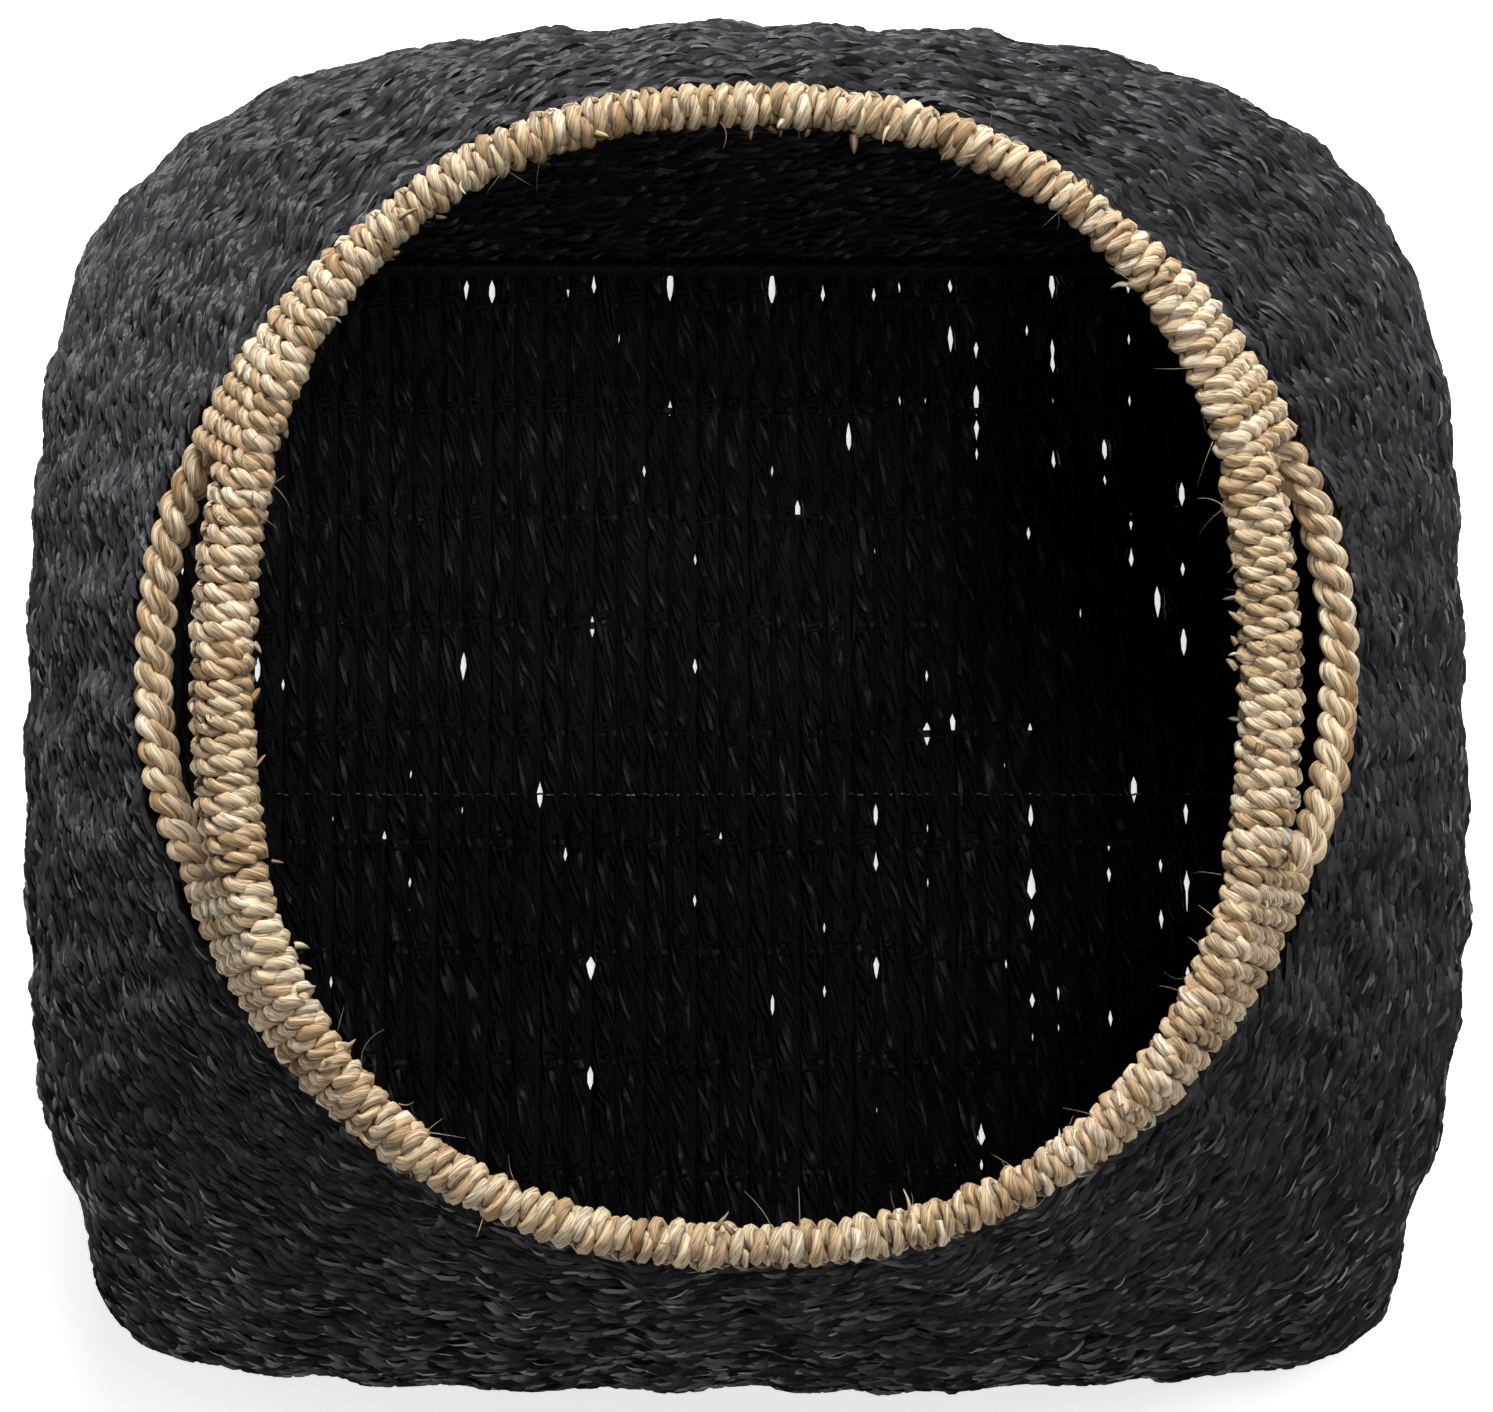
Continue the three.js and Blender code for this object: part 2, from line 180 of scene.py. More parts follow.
def profileHeights():
    # heights of the row middles, at even steps along the wall's curve
    z = np.linspace(baseZ, rowsEnd, 400)
    across = wallPoint(np.full_like(z, 0.6), z)
    length = np.concatenate([[0], np.cumsum(np.linalg.norm(np.diff(across, axis=0), axis=1))])
    rows = int(round(length[-1] / wall["rowPitch"]))
    return np.interp((np.arange(rows) + 0.5) / rows * length[-1], length, z), rows


rowHeights, rowCount = profileHeights()


def rowZ(row, angle):
    # rows run level low down and follow the wall's top edge near the rim
    height = np.interp(row, np.arange(rowCount), rowHeights)
    share = (height - baseZ) / (rowsEnd - baseZ)
    rise = np.clip((share - 0.5) / 0.5, 0, 1)
    blend = rise ** 2 * (3 - 2 * rise)
    top = (wallTop(angle) - baseZ) / (rowsEnd - baseZ)
    return baseZ + (height - baseZ) * (1 - blend * (1 - top))


swellTerms = [(rng.integers(5, 48), rng.uniform(-180, 180), rng.uniform(0, 6.28)) for _ in range(14)]


def unevenness(angle, z):
    # the slow swells of a hand-made wall, about -1 to 1
    return sum(np.sin(turns * angle + rise * z + phase) for turns, rise, phase in swellTerms) / 3.4


# materials
def hexLinear(code):
    channels = [int(code[i:i + 2], 16) / 255 for i in (1, 3, 5)]
    return [c / 12.92 if c <= 0.04045 else ((c + 0.055) / 1.055) ** 2.4 for c in channels] + [1]


def addNode(tree, kind, settings=None, links=None):
    node = tree.nodes.new(kind)
    for key, value in (settings or {}).items():
        if isinstance(key, str) and hasattr(node, key):
            setattr(node, key, value)
        else:
            node.inputs[key].default_value = value
    for key, source in (links or {}).items():
        tree.links.new(source, node.inputs[key])
    return node


def newMaterial(name):
    material = bpy.data.materials.new(name)
    material.use_nodes = True
    material.node_tree.nodes.clear()
    return material, material.node_tree


def colourRamp(tree, source, stops):
    ramp = addNode(tree, "ShaderNodeValToRGB", links={"Fac": source})
    for place, code in stops[2:]:
        ramp.color_ramp.elements.new(place)
    for element, (place, code) in zip(ramp.color_ramp.elements, stops):
        element.position, element.color = place, hexLinear(code)
    return ramp


def leafMaterial(name, look):
    # twisted leaf: each strand has its own tone, and fine fibres and creases run along it; the creases and
    # tucked edges are darkened as painted shade
    material, tree = newMaterial(name)
    uv = addNode(tree, "ShaderNodeUVMap", {"uv_map": "strand"})
    split = addNode(tree, "ShaderNodeSeparateXYZ", links={0: uv.outputs[0]})
    strand = addNode(tree, "ShaderNodeMath", {"operation": "FLOOR"}, {0: split.outputs[1]})
    tone = addNode(tree, "ShaderNodeTexWhiteNoise", {"noise_dimensions": "1D"}, {"W": strand.outputs[0]})
    place = addNode(tree, "ShaderNodeTexCoord")
    patches = addNode(tree, "ShaderNodeTexNoise", {"Scale": look["patchScale"], "Detail": 3.0},
                      {"Vector": place.outputs["Object"]})
    # the fibre pattern is long along the strand and fine across it
    stretched = addNode(tree, "ShaderNodeCombineXYZ")
    along = addNode(tree, "ShaderNodeMath", {"operation": "MULTIPLY", 1: look["fibreAlong"]},
                    {0: split.outputs[0]})
    fine = addNode(tree, "ShaderNodeMath", {"operation": "MULTIPLY", 1: look["fibreAcross"]},
                   {0: split.outputs[1]})
    tree.links.new(along.outputs[0], stretched.inputs[0])
    tree.links.new(fine.outputs[0], stretched.inputs[1])
    fibres = addNode(tree, "ShaderNodeTexNoise", {"Scale": 1.0, "Detail": 3.0, "Roughness": 0.6},
                     {"Vector": stretched.outputs[0]})
    # thin crease lines where the fibre pattern passes its middle value: they shape the bump, and their
    # darkening is painted shade
    middle = addNode(tree, "ShaderNodeMath", {"operation": "SUBTRACT", 1: 0.5}, {0: fibres.outputs[0]})
    away = addNode(tree, "ShaderNodeMath", {"operation": "ABSOLUTE"}, {0: middle.outputs[0]})
    crease = addNode(tree, "ShaderNodeMapRange", {"From Max": look["creaseWidth"],
                                                  "To Min": look["creaseShadeDark"]}, {"Value": away.outputs[0]})
    mixTone = addNode(tree, "ShaderNodeMath", {"operation": "MULTIPLY_ADD", 1: look["toneSpread"]},
                      {0: tone.outputs[0], 2: fibres.outputs[0]})
    shifted = addNode(tree, "ShaderNodeMath",
                      {"operation": "MULTIPLY_ADD", 1: 0.6, 2: -0.3 - look["toneSpread"] / 2},
                      {0: patches.outputs[0]})
    total = addNode(tree, "ShaderNodeMath", {"operation": "ADD"},
                    {0: mixTone.outputs[0], 1: shifted.outputs[0]})
    colour = colourRamp(tree, total.outputs[0], look["colours"])
    creaseShaded = addNode(tree, "ShaderNodeVectorMath", {"operation": "SCALE"},
                      {0: colour.outputs[0], "Scale": crease.outputs[0]})
    # painted shade: a strand is darkened at its edges where it tucks under its neighbours, and a ply on its
    # inner side
    aside = addNode(tree, "ShaderNodeMath", {"operation": "PINGPONG", 1: 0.5}, {0: split.outputs[1]})
    tuckShade = addNode(tree, "ShaderNodeMapRange", {"From Min": look["tuckShadeFrom"], "From Max": look["tuckShadeTo"],
                                                "To Min": look["tuckShadeDark"]}, {"Value": aside.outputs[0]})
    tuckShaded = addNode(tree, "ShaderNodeVectorMath", {"operation": "SCALE"},
                     {0: creaseShaded.outputs[0], "Scale": tuckShade.outputs[0]})
    height = addNode(tree, "ShaderNodeMath", {"operation": "ADD"},
                     {0: fibres.outputs[0], 1: crease.outputs[0]})
    bump = addNode(tree, "ShaderNodeBump", {"Strength": look["bump"], "Distance": 0.25 * mm},
                   {"Height": height.outputs[0]})
    shader = addNode(tree, "ShaderNodeBsdfPrincipled", {"Roughness": look["roughness"], "IOR": 1.45},
                     {"Base Color": tuckShaded.outputs[0], "Normal": bump.outputs[0]})
    shader.inputs["Specular IOR Level"].default_value = look["specular"]
    addNode(tree, "ShaderNodeOutputMaterial", links={"Surface": shader.outputs[0]})
    return material


# patches about 1000 / patchScale mm across, fibres about 1000 / fibreAlong mm long, fibreAcross to a strand
dyedLeafLook = {
    "patchScale": 18.0, "fibreAlong": 120.0, "fibreAcross": 5.0, "bump": 0.7, "toneSpread": 0.3,
    "creaseWidth": 0.03, "creaseShadeDark": 0.45, "roughness": 0.46, "specular": 0.5,
    "tuckShadeFrom": 0.03, "tuckShadeTo": 0.22, "tuckShadeDark": 0.12,
    "colours": [(0.12, "#0f0e12"), (0.5, "#212025"), (0.8, "#323138"), (0.97, "#4a4850")],
}
naturalLeafLook = {
    "patchScale": 40.0, "fibreAlong": 70.0, "fibreAcross": 8.0, "bump": 0.8, "toneSpread": 0.5,
    "creaseWidth": 0.045, "creaseShadeDark": 0.36, "roughness": 0.6, "specular": 0.35,
    "tuckShadeFrom": 0.4, "tuckShadeTo": 0.24, "tuckShadeDark": 0.4,
    "colours": [(0.1, "#9c7850"), (0.34, "#c4a680"), (0.62, "#dcc5a4"), (0.95, "#efe2ca")],
}
# charcoal dye with satin lights on each strip, and dry straw to cream, plump and fibrous
dyedLeaf = leafMaterial("dyed_twisted_leaf", dyedLeafLook)
naturalLeaf = leafMaterial("undyed_dried_leaf", naturalLeafLook)


# grain is about 1000 / grain mm wide
def plainMaterial(name, code, roughness, metallic=0.0, grain=60.0, depth=0.2):
    material, tree = newMaterial(name)
    place = addNode(tree, "ShaderNodeTexCoord")
    noise = addNode(tree, "ShaderNodeTexNoise", {"Scale": grain, "Detail": 4.0},
                    {"Vector": place.outputs["Object"]})
    base = hexLinear(code)
    low = [c * (1 - depth) for c in base[:3]] + [1]
    high = [min(1, c * (1 + depth)) for c in base[:3]] + [1]
    ramp = addNode(tree, "ShaderNodeValToRGB", links={"Fac": noise.outputs[0]})
    ramp.color_ramp.elements[0].color, ramp.color_ramp.elements[1].color = low, high
    bump = addNode(tree, "ShaderNodeBump", {"Strength": 0.3, "Distance": 0.2 * mm},
                   {"Height": noise.outputs[0]})
    shader = addNode(tree, "ShaderNodeBsdfPrincipled", {"Roughness": roughness, "Metallic": metallic},
                     {"Base Color": ramp.outputs[0], "Normal": bump.outputs[0]})
    addNode(tree, "ShaderNodeOutputMaterial", links={"Surface": shader.outputs[0]})
    return material


caneSkin = plainMaterial("split_cane", "#1b1815", 0.7, grain=300.0)     # stakes, darkened by the same dye
drawnWire = plainMaterial("drawn_steel_wire", "#9a9a9c", 0.4, 0.9, 400.0)   # grey wire, slightly dulled
dyedCoreAndShade = plainMaterial("dyed_core_painted_shade", "#060608", 0.9, grain=500.0)  # the dark heart between strands: dyed leaf made darker than the strands, as painted shade in the gaps
shadedLeaf = plainMaterial("brown_leaf_painted_shade", "#4d3a28", 0.8)            # packed leaf between the turns, dark brown as painted shade between them
print("materials made")


# mesh helpers
def showPiece(name, mesh, material, replaced):
    # every visible piece is on the basket's one body
    mesh.materials.append(material)
    piece = bpy.data.objects.new(name, mesh)
    bpy.context.collection.objects.link(piece)
    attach(piece, "root")
    if replaced:
        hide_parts(*replaced)
    return piece


def showMesh(name, vertices, faces, uv, material, replaced=()):
    # faces are an array of quads or a list of corner lists, and uv has one pair for each face corner
    mesh = bpy.data.meshes.new(name)
    mesh.vertices.add(len(vertices))
    mesh.vertices.foreach_set("co", np.asarray(vertices, np.float32).ravel())
    if isinstance(faces, list):
        counts, flat = np.array([len(f) for f in faces]), np.concatenate(faces)
    else:
        counts, flat = np.full(len(faces), faces.shape[1]), faces.ravel()
    mesh.loops.add(len(flat))
    mesh.loops.foreach_set("vertex_index", flat.astype(np.int32))
    mesh.polygons.add(len(counts))
    mesh.polygons.foreach_set("loop_start", np.concatenate([[0], np.cumsum(counts)[:-1]]).astype(np.int32))
    mesh.update(calc_edges=True)
    layer = mesh.uv_layers.new(name="strand")
    layer.data.foreach_set("uv", np.asarray(uv, np.float32).ravel())
    mesh.polygons.foreach_set("use_smooth", np.ones(len(counts), bool))
    mesh.validate()
    return showPiece(name, mesh, material, replaced)


def gridFaces(first, second, wrapFirst, wrapSecond):
    # the quads of a grid of points, which can close on itself either way, and each quad's place in it
    rowAt, columnAt = np.meshgrid(np.arange(first if wrapFirst else first - 1),
                                  np.arange(second if wrapSecond else second - 1), indexing="ij")
    nextRow, nextColumn = (rowAt + 1) % first, (columnAt + 1) % second
    corners = [rowAt * second + columnAt, nextRow * second + columnAt,
               nextRow * second + nextColumn, rowAt * second + nextColumn]
    return np.stack(corners, -1).reshape(-1, 4), rowAt, columnAt


def runningLength(points):
    # distance along a line of points, from its start
    return np.concatenate([[0], np.cumsum(np.linalg.norm(np.diff(points, axis=0), axis=1))])


def strandUv(length, stepAt, sideAt, sides, number):
    # metres along a strand, and its number plus the share of the way round it
    u = np.stack([length[stepAt], length[stepAt + 1], length[stepAt + 1], length[stepAt]], -1)
    turn = np.stack([sideAt, sideAt, sideAt + 1, sideAt + 1], -1) / sides
    return np.stack([u, 0.02 + turn * 0.96 + number], -1).reshape(-1, 4, 2)


def modelStrip():
    # one leaf strip, modelled once: a slim ridged spindle with a flat underside and pointed ends, one long
    bpy.ops.object.select_all(action="DESELECT")
    bpy.ops.mesh.primitive_uv_sphere_add(segments=3, ring_count=5, radius=0.5)
    strip = bpy.context.object
    bpy.ops.object.mode_set(mode="EDIT")
    bpy.ops.mesh.select_all(action="SELECT")
    bpy.ops.transform.rotate(value=math.pi / 2, orient_axis="Y", center_override=(0, 0, 0))
    bpy.ops.object.mode_set(mode="OBJECT")
    mesh = strip.data
    corners = np.array([v.co[:] for v in mesh.vertices])
    faces = [list(p.vertices) for p in mesh.polygons]
    bpy.data.objects.remove(strip)
    bpy.data.meshes.remove(mesh)
    # along the strip, across it, and up to its ridge
    points = np.stack([corners[:, 0], -corners[:, 2] * 1.2, corners[:, 1]], -1)
    return points, faces


stripPoints, stripFaces = modelStrip()


def layStrips(name, place, count, material, replaced=()):
    # copies of the strip, each bent onto its surface by place(along, across, lift)
    n = len(stripPoints)
    vertices = place(stripPoints[None, :, 0], stripPoints[None, :, 1], stripPoints[None, :, 2])
    cornerLists = [np.array(f) for f in stripFaces]
    flat = np.concatenate(cornerLists)
    sizes = np.array([len(f) for f in cornerLists])
    corners = (flat[None, :] + (np.arange(count) * n)[:, None]).ravel()
    starts = np.concatenate([[0], np.cumsum(np.tile(sizes, count))[:-1]])
    mesh = bpy.data.meshes.new(name)
    mesh.vertices.add(count * n)
    mesh.vertices.foreach_set("co", vertices.reshape(-1).astype(np.float32))
    mesh.loops.add(len(corners))
    mesh.loops.foreach_set("vertex_index", corners.astype(np.int32))
    mesh.polygons.add(len(starts))
    mesh.polygons.foreach_set("loop_start", starts.astype(np.int32))
    mesh.update(calc_edges=True)
    reach = np.abs(stripPoints[:, 1]).max()
    uvPoint = np.stack([stripPoints[:, 0] * 0.02, (stripPoints[:, 1] / reach + 1) * 0.48 + 0.02], -1)
    uv = np.tile(uvPoint[flat], (count, 1, 1)).reshape(count, len(flat), 2)
    uv = uv + np.stack([rng.random(count) * 5, rng.integers(0, 4000, count)], -1)[:, None, :]
    mesh.uv_layers.new(name="strand").data.foreach_set("uv", uv.astype(np.float32).ravel())
    mesh.polygons.foreach_set("use_smooth", np.ones(len(starts), bool))
    ends = np.empty(len(mesh.edges) * 2, np.int32)
    mesh.edges.foreach_get("vertices", ends)
    station = stripPoints[:, 0][ends.reshape(-1, 2) % n]
    folded = np.abs(station[:, 0] - station[:, 1]) > 1e-4       # the edges that run along a strip
    mesh.attributes.new("sharp_edge", "BOOLEAN", "EDGE").data.foreach_set("value", folded)
    return showPiece(name, mesh, material, replaced)


# the twined wall
twining = {
    "stripsPerCell": 9,         # leaf strips that show over one stake in one row
    "length": (6.5 * mm, 12 * mm),
    "width": (1.1 * mm, 2.9 * mm),
    "thick": 2.1 * mm,
    "slant": math.radians(17),
    "slantSpread": math.radians(10),
    "roll": math.radians(22),
    "lift": 2.9 * mm,           # middle of a strip above the middle surface
    "ribLift": 0.8 * mm,        # how far a row swells over each stake
    "raised": 0.7 * mm,         # strips sit up to this much above or below their row
    "uneven": 0.7 * mm,
    "endSink": 1.2 * mm,
    "liningPerCell": 6,         # fewer strips and wider rows on the inside
    "liningStep": 1.4,
}


def twinedWall(name, fromStake, stakeSpan, fromRow, toRow, outside, perCell, replaced=()):
    # all the strips over a span of stakes and rows, on the outer or the inner face
    rows = np.arange(fromRow, toRow, 1 if outside else twining["liningStep"])
    cells = len(rows) * stakeSpan
    count = cells * perCell
    row = np.repeat(rows, stakeSpan * perCell) + 0.0
    stake = np.tile(np.repeat(np.arange(stakeSpan), perCell), len(rows)) + fromStake
    part = np.tile(np.arange(perCell), cells)
    acrossRow = rng.normal(0, 0.13, count)
    stagger = np.floor(row) * 0.37
    phase = stake + (part + stagger % 1 + rng.uniform(-0.3, 0.3, count)) / perCell - 0.5
    angle = np.interp(phase % len(stakes), np.arange(-1, len(stakes) + 1), stakeLoop)
    z = rowZ(row + acrossRow, angle)
    length = rng.uniform(*twining["length"], count)
    width = twining["width"][0] + (twining["width"][1] - twining["width"][0]) * rng.random(count) ** 1.6
    slant = twining["slant"] + rng.normal(0, 1, count) * twining["slantSpread"]
    bend = rng.normal(0, 0.5, count) * mm
    raised = rng.uniform(-1, 1, count) * twining["raised"]
    roll = rng.normal(0, 1, count) * twining["roll"]
    side = 1 if outside else -1
    around = wallFrame(angle, z)
    perRadian, rise = around[3], around[2][..., 2]

    def place(along, across, lift):
        turned = across * (width * np.cos(roll))[:, None] - lift * (twining["thick"] * np.sin(roll))[:, None]
        stand = across * (width * np.sin(roll))[:, None] + lift * (twining["thick"] * np.cos(roll))[:, None]
        run = along * (length * np.cos(slant))[:, None] - turned * np.sin(slant)[:, None] * side
        climb = along * (length * np.sin(slant))[:, None] * side + turned * np.cos(slant)[:, None]
        climb = climb + bend[:, None] * np.cos(math.pi * along)
        pointAngle = angle[:, None] + run / perRadian[:, None]
        pointZ = np.clip(z[:, None] + climb * rise[:, None], 1.2 * mm, rimZ + 2 * mm)
        slow = unevenness(pointAngle, pointZ)
        rib = np.cos(2 * math.pi * stakePhase(pointAngle) + 0.8 * slow)
        height = twining["lift"] + twining["ribLift"] * rib + twining["uneven"] * slow + raised[:, None]
        height = height - twining["endSink"] * np.abs(2 * along) ** 3 + stand
        outward = wallFrame(pointAngle, np.maximum(pointZ, baseZ + mm))[0]
        points = wallPoint(pointAngle, pointZ) + outward * (side * height)[..., None]
        points[..., 2] = np.maximum(points[..., 2], 0.3 * mm)
        return points

    return layStrips(name, place, count, dyedLeaf, replaced)


def wallSheet(name, low, high):
    # a thin closed sheet of the wall, that keeps light from passing between the strands; its near-black
    # colour is painted shade in the gaps
    columns, rows = 160, 40
    angles = np.arange(columns) / columns * 2 * math.pi
    share = np.arange(rows + 1) / rows
    top = wallTop(angles) - 1.5 * mm
    z = baseZ + share[None, :] * (top[:, None] - baseZ)
    grid = wallPoint(angles[:, None], z)
    outward = wallFrame(angles[:, None] + 0 * z, np.maximum(z, baseZ + mm))[0]
    outer, inner = grid + outward * high, grid + outward * low
    outer[:, 0, 2] = inner[:, 0, 2] = 3 * mm
    ring = np.concatenate([outer, inner[:, ::-1]], 1)       # columns x 2(rows + 1)
    return closedGrid(name, ring, dyedCoreAndShade)


def closedGrid(name, grid, material):
    # a ring of sections, closed both ways
    faces = gridFaces(*grid.shape[:2], True, True)[0]
    uv = np.stack([faces % 7 * 0.01, faces % 3 * 0.01], -1)
    return showMesh(name, grid.reshape(-1, 3), faces, uv, material)


quarter = len(stakes) // 4
halfRows = rowCount // 2
for index, side in enumerate(["right", "back", "left", "front"]):
    start = index * quarter - quarter // 2
    perCell, lining = twining["stripsPerCell"], twining["liningPerCell"]
    outer, inner = ("wall_weave_" + side,), ("wall_weave_inner",)
    twinedWall("wall_twining_low_" + side, start, quarter, 0, halfRows, True, perCell, outer)
    twinedWall("wall_twining_high_" + side, start, quarter, halfRows, rowCount, True, perCell, outer)
    twinedWall("wall_lining_" + side, start, quarter, 0, rowCount, False, lining, inner)
wallSheet("wall_core_outer", 0.6 * mm, 1.3 * mm)
wallSheet("wall_core_inner", -1.6 * mm, -0.9 * mm)
print("wall twined:", rowCount, "rows")

# the base: columns of twisted leaf from front to back over the cross stakes
base = {
    "columnPitch": 8.2 * mm,
    "topZ": 8.3 * mm,           # middle of the strips on the upper face
    "underZ": 1.5 * mm,
    "stripsPerCell": 15,
    "underPerCell": 10,
    "length": (9 * mm, 18 * mm),
    "width": (1.2 * mm, 2.6 * mm),
    "thick": 1.6 * mm,
    "slant": -0.36,
    "slantSpread": 0.16,
    "halfColumn": 0.51,         # how far a strip may reach aside, in column pitches
    "swell": 0.9 * mm,          # how far a column rises over each cross stake
    "cores": ((4.9 * mm, 6.5 * mm), (3.2 * mm, 4.8 * mm)),  # heights of the even and the odd ribbons
    "slits": 170,               # see-through gaps between columns
    "backRow": 16,              # of which these stand in a row in front of the back edge
    "rightSide": 84,            # and these lie on the right, in the seams at these shares of the width
    "rightSeams": (0.62, 0.66, 0.69, 0.71, 0.74, 0.78, 0.81, 0.83, 0.86, 0.88, 0.9),
    "slitHalfWidth": (0.12 * mm, 0.8 * mm),
    "slitHalfLength": (0.7 * mm, 4.8 * mm),
}
baseHalfX, baseHalfY, baseCentreY = plans[0, 1], plans[0, 2], plans[0, 3]
columnCount = int(baseHalfX * 2 / base["columnPitch"])
columnX = (np.arange(columnCount) - (columnCount - 1) / 2) * base["columnPitch"]
crossCount = wall["stakesPerSide"]
crossY = baseCentreY + (np.arange(crossCount) - (crossCount - 1) / 2) / (crossCount / 2) * baseHalfY
stakeStep = crossY[1] - crossY[0]


def makeSlits():
    gaps, backRow, rightSide = base["slits"], base["backRow"], base["rightSide"]
    seam = rng.integers(1, columnCount, gaps)
    rightSeams = np.array(base["rightSeams"]) * columnCount
    seam[backRow:backRow + rightSide] = rng.choice(rightSeams.astype(int), rightSide)
    seam[:backRow] = np.linspace(6, columnCount - 4, backRow).round() + rng.integers(-1, 2, backRow)
    x = columnX[seam] - base["columnPitch"] / 2
    y = baseCentreY + rng.uniform(-0.92, 0.86, gaps) * baseHalfY
    y[:backRow] = baseCentreY + baseHalfY - rng.uniform(11, 14, backRow) * mm
    big = rng.random(gaps) ** 1.7
    big[:backRow] = rng.uniform(0.3, 1, backRow)
    low, high = base["slitHalfWidth"], base["slitHalfLength"]
    slender = rng.uniform(0.6, 1, gaps)
    return x, y, low[0] + (low[1] - low[0]) * big, high[0] + (high[1] - high[0]) * big * slender


slitX, slitY, slitWide, slitLong = makeSlits()


def parted(x, y, columnMiddle):
    # moves a column's points sideways away from the slits, the nearest ones most
    shift = np.zeros(np.broadcast(x, y).shape)
    for sx, sy, wide, long in zip(slitX, slitY, slitWide, slitLong):
        side = np.sign(columnMiddle - sx)
        near = np.exp(-((y - sy) / long) ** 4) * np.exp(-np.maximum((x - sx) * side, 0) / (3.2 * mm))
        near = near * (np.abs(columnMiddle - sx) < base["columnPitch"])
        shift = shift + side * near * (wide + 0.5 * mm)
    return shift


def baseLimit(x, margin):
    # half length of the base at x, inside its rounded corners
    inside = np.clip(1 - np.abs(x / baseHalfX) ** wall["basePower"], 0, 1) ** (1 / wall["basePower"])
    return baseHalfY * inside - margin


def twinedBase(name, top, perCell, replaced):
    rows = crossCount + 1       # cells from front to back along a column
    count = columnCount * rows * perCell
    column = np.repeat(np.arange(columnCount), rows * perCell)
    cell = np.tile(np.repeat(np.arange(rows), perCell), columnCount)
    part = np.tile(np.arange(perCell), columnCount * rows)
    offset = ((part * 2) % perCell + 0.5) / perCell - 0.5
    x = columnX[column] + offset * base["columnPitch"] * 0.9 + rng.normal(0, 0.25, count) * mm
    y = baseCentreY + (cell - 5 + (part + rng.uniform(-0.4, 0.4, count)) / perCell - 0.5) * stakeStep
    length = rng.uniform(*base["length"], count)
    width = rng.uniform(*base["width"], count)
    slant = rng.normal(base["slant"], base["slantSpread"], count)
    raised = rng.uniform(-0.5, 0.6, count) * mm
    roll = rng.normal(0, 0.4, count)
    columnMiddle, half = columnX[column], base["columnPitch"] * base["halfColumn"]

    def place(along, across, lift):
        turned = across * (width * np.cos(roll))[:, None] - lift * (base["thick"] * np.sin(roll))[:, None]
        stand = across * (width * np.sin(roll))[:, None] + lift * (base["thick"] * np.cos(roll))[:, None]
        dx = turned * np.cos(slant)[:, None] + along * (length * np.sin(slant))[:, None]
        dy = along * (length * np.cos(slant))[:, None] - turned * np.sin(slant)[:, None]
        px, py = x[:, None] + dx, y[:, None] + dy
        # a strand dives at its column's sides, so it never strays onto the next column
        px = columnMiddle[:, None] + half * np.tanh((px - columnMiddle[:, None]) / half)
        limit = baseLimit(px, 3 * mm)
        py = baseCentreY + np.clip(py - baseCentreY, -limit, limit)
        crown = 1 - (np.abs(px - columnMiddle[:, None]) / (base["columnPitch"] * 0.5)) ** 2
        swell = np.cos(2 * math.pi * (py - crossY[0]) / stakeStep)
        height = (crown - 0.7) * 1.3 * mm + swell * base["swell"] + raised[:, None]
        height = height + stand - 1.2 * mm * (2 * along) ** 4
        px = px + parted(px, py, columnMiddle[:, None])
        z = base["topZ"] + height if top else base["underZ"] - height * 0.5
        return np.stack([px, py, np.clip(z, 0.15 * mm, 14 * mm)], -1)

    return layStrips(name, place, count, dyedLeaf, (replaced,))


def columnCores():
    # one flat dark ribbon inside each column, upper and lower, parted at the slits; the dark is painted shade
    # between the strands
    steps = 120
    grids = []
    for number, x in enumerate(columnX):
        half = base["columnPitch"] * 0.53
        low, high = base["cores"][number % 2]
        limit = float(baseLimit(np.array([min(abs(x) + half * 0.6, baseHalfX * 0.985)]), 3 * mm)[0])
        y = baseCentreY + np.linspace(-limit, limit, steps)
        corners = []
        for dx, z in ((-half, low), (half, low), (half, high), (-half, high)):
            edge = np.full(steps, x + dx)
            corners.append(np.stack([edge + parted(edge, y, x), y, np.full(steps, z)], -1))
        grids.append(np.stack(corners, 1))
    return grids


def joinGrids(name, grids, material, replaced=()):
    # several tubes or ribbons as one piece, each with a cap at both ends
    vertices, faces, uv, start = [], [], [], 0
    for number, grid in enumerate(grids):
        steps, sides = grid.shape[:2]
        quads, stepAt, sideAt = gridFaces(steps, sides, False, True)
        faces += list(quads + start)
        uv += list(strandUv(runningLength(grid.mean(1)), stepAt, sideAt, sides, number))
        for ring, flip in ((0, False), (steps - 1, True)):
            cap = np.arange(sides) + ring * sides + start
            faces.append(cap[::-1] if flip else cap)
            uv.append(np.full((sides, 2), number + 0.5))
        vertices.append(grid.reshape(-1, 3))
        start += steps * sides
    return showMesh(name, np.concatenate(vertices), faces, np.concatenate(uv), material, replaced)


twinedBase("base_twining_top", True, base["stripsPerCell"], "base_weave_top")
twinedBase("base_twining_under", False, base["underPerCell"], "base_weave_under")
joinGrids("base_cores", columnCores(), dyedCoreAndShade)


def footRing():
    # the folded leaf where the base meets the wall, near black as painted shade in that seam
    angles = np.arange(240) / 240 * 2 * math.pi
    outline = wallPoint(angles, np.full(240, baseZ))
    middle = np.array([0, baseCentreY, 0])
    corners = []
    for scale, z in ((0.984, 2.2), (0.995, 2.2), (0.995, 5.5), (0.984, 5.5)):
        corner = middle + (outline - middle) * scale
        corner[:, 2] = z * mm
        corners.append(corner)
    return closedGrid("base_foot_core", np.stack(corners, 1), dyedCoreAndShade)


footRing()


